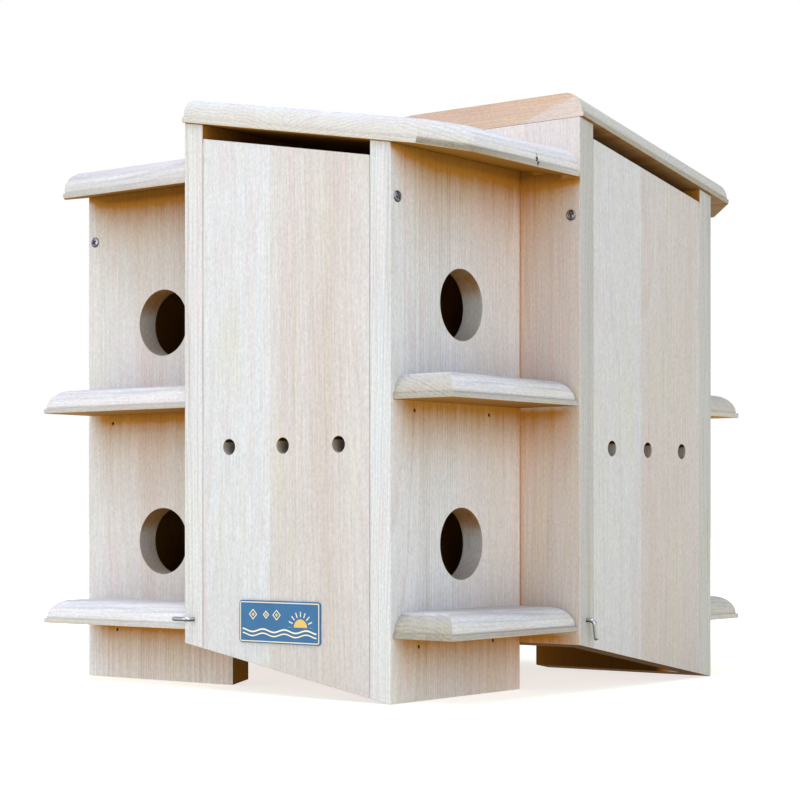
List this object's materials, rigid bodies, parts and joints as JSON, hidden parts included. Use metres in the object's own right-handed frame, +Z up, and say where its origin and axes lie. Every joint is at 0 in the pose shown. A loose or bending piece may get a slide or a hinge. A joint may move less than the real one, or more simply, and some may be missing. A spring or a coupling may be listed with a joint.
{
  "type": "purple martin birdhouse",
  "caption": "Wooden martin house of tall wings set round a square pole shaft, with sloping roofs, round entry holes, porches and swing-up clean-out doors held by hooks.",
  "frame": {"origin": "middle of the pole shaft, at the height of the entrance walls' lowest edges", "axes": "+Z up along the pole shaft; the first wing points to -Y with its entry holes facing +X"},
  "size_m": [0.44, 0.44, 0.4603],
  "materials": {
    "pine_board": "planed edge-glued pine, bare",
    "zinc_screw": "zinc plated",
    "zinc_hook": "zinc plated wire",
    "enamel_plate": "gloss enamel"
  },
  "bodies": {
    "house": {"entrance_wall_1": "pine_board", "entrance_wall_2": "pine_board", "entrance_wall_3": "pine_board", "entrance_wall_4": "pine_board", "plain_wall_1": "pine_board", "plain_wall_2": "pine_board", "plain_wall_3": "pine_board", "plain_wall_4": "pine_board", "roof_1": "pine_board", "roof_2": "pine_board", "roof_3": "pine_board", "roof_4": "pine_board", "upper_floor_1": "pine_board", "upper_floor_2": "pine_board", "upper_floor_3": "pine_board", "upper_floor_4": "pine_board", "lower_floor_1": "pine_board", "lower_floor_2": "pine_board", "lower_floor_3": "pine_board", "lower_floor_4": "pine_board", "upper_porch_1": "pine_board", "upper_porch_2": "pine_board", "upper_porch_3": "pine_board", "upper_porch_4": "pine_board", "lower_porch_1": "pine_board", "lower_porch_2": "pine_board", "lower_porch_3": "pine_board", "lower_porch_4": "pine_board", "shaft_cap": "pine_board", "pole_seat": "pine_board"},
    "swing_door_1": {"door_1": "pine_board", "pivot_screws_1": "zinc_screw", "name_plate": "enamel_plate"},
    "swing_door_2": {"door_2": "pine_board", "pivot_screws_2": "zinc_screw"},
    "swing_door_3": {"door_3": "pine_board", "pivot_screws_3": "zinc_screw"},
    "swing_door_4": {"door_4": "pine_board", "pivot_screws_4": "zinc_screw"},
    "door_hook_1": {"hook_1": "zinc_hook"},
    "door_hook_2": {"hook_2": "zinc_hook"},
    "door_hook_3": {"hook_3": "zinc_hook"},
    "door_hook_4": {"hook_4": "zinc_hook"}
  },
  "joints": [
    {"name": "door_1_swing", "type": "hinge", "parent": "house", "child": "swing_door_1", "pos_m": [0.0545, -0.2035, 0.366], "axis": [-1, 0, 0], "range_deg": [0, 140]},
    {"name": "door_2_swing", "type": "hinge", "parent": "house", "child": "swing_door_2", "pos_m": [0.2035, 0.0545, 0.366], "axis": [0, -1, 0], "range_deg": [0, 140]},
    {"name": "door_3_swing", "type": "hinge", "parent": "house", "child": "swing_door_3", "pos_m": [-0.0545, 0.2035, 0.366], "axis": [1, 0, 0], "range_deg": [0, 140]},
    {"name": "door_4_swing", "type": "hinge", "parent": "house", "child": "swing_door_4", "pos_m": [-0.2035, -0.0545, 0.366], "axis": [0, 1, 0], "range_deg": [0, 140]},
    {"name": "hook_1_turn", "type": "hinge", "parent": "house", "child": "door_hook_1", "pos_m": [-0.0375, -0.2115, 0.0555], "axis": [0, 1, 0], "range_deg": [-180, 0]},
    {"name": "hook_2_turn", "type": "hinge", "parent": "house", "child": "door_hook_2", "pos_m": [0.2115, -0.0375, 0.0555], "axis": [-1, 0, 0], "range_deg": [-79, 101]},
    {"name": "hook_3_turn", "type": "hinge", "parent": "house", "child": "door_hook_3", "pos_m": [0.0375, 0.2115, 0.0555], "axis": [0, -1, 0], "range_deg": [-90, 90]},
    {"name": "hook_4_turn", "type": "hinge", "parent": "house", "child": "door_hook_4", "pos_m": [-0.2115, 0.0375, 0.0555], "axis": [1, 0, 0], "range_deg": [-90, 90]}
  ]
}
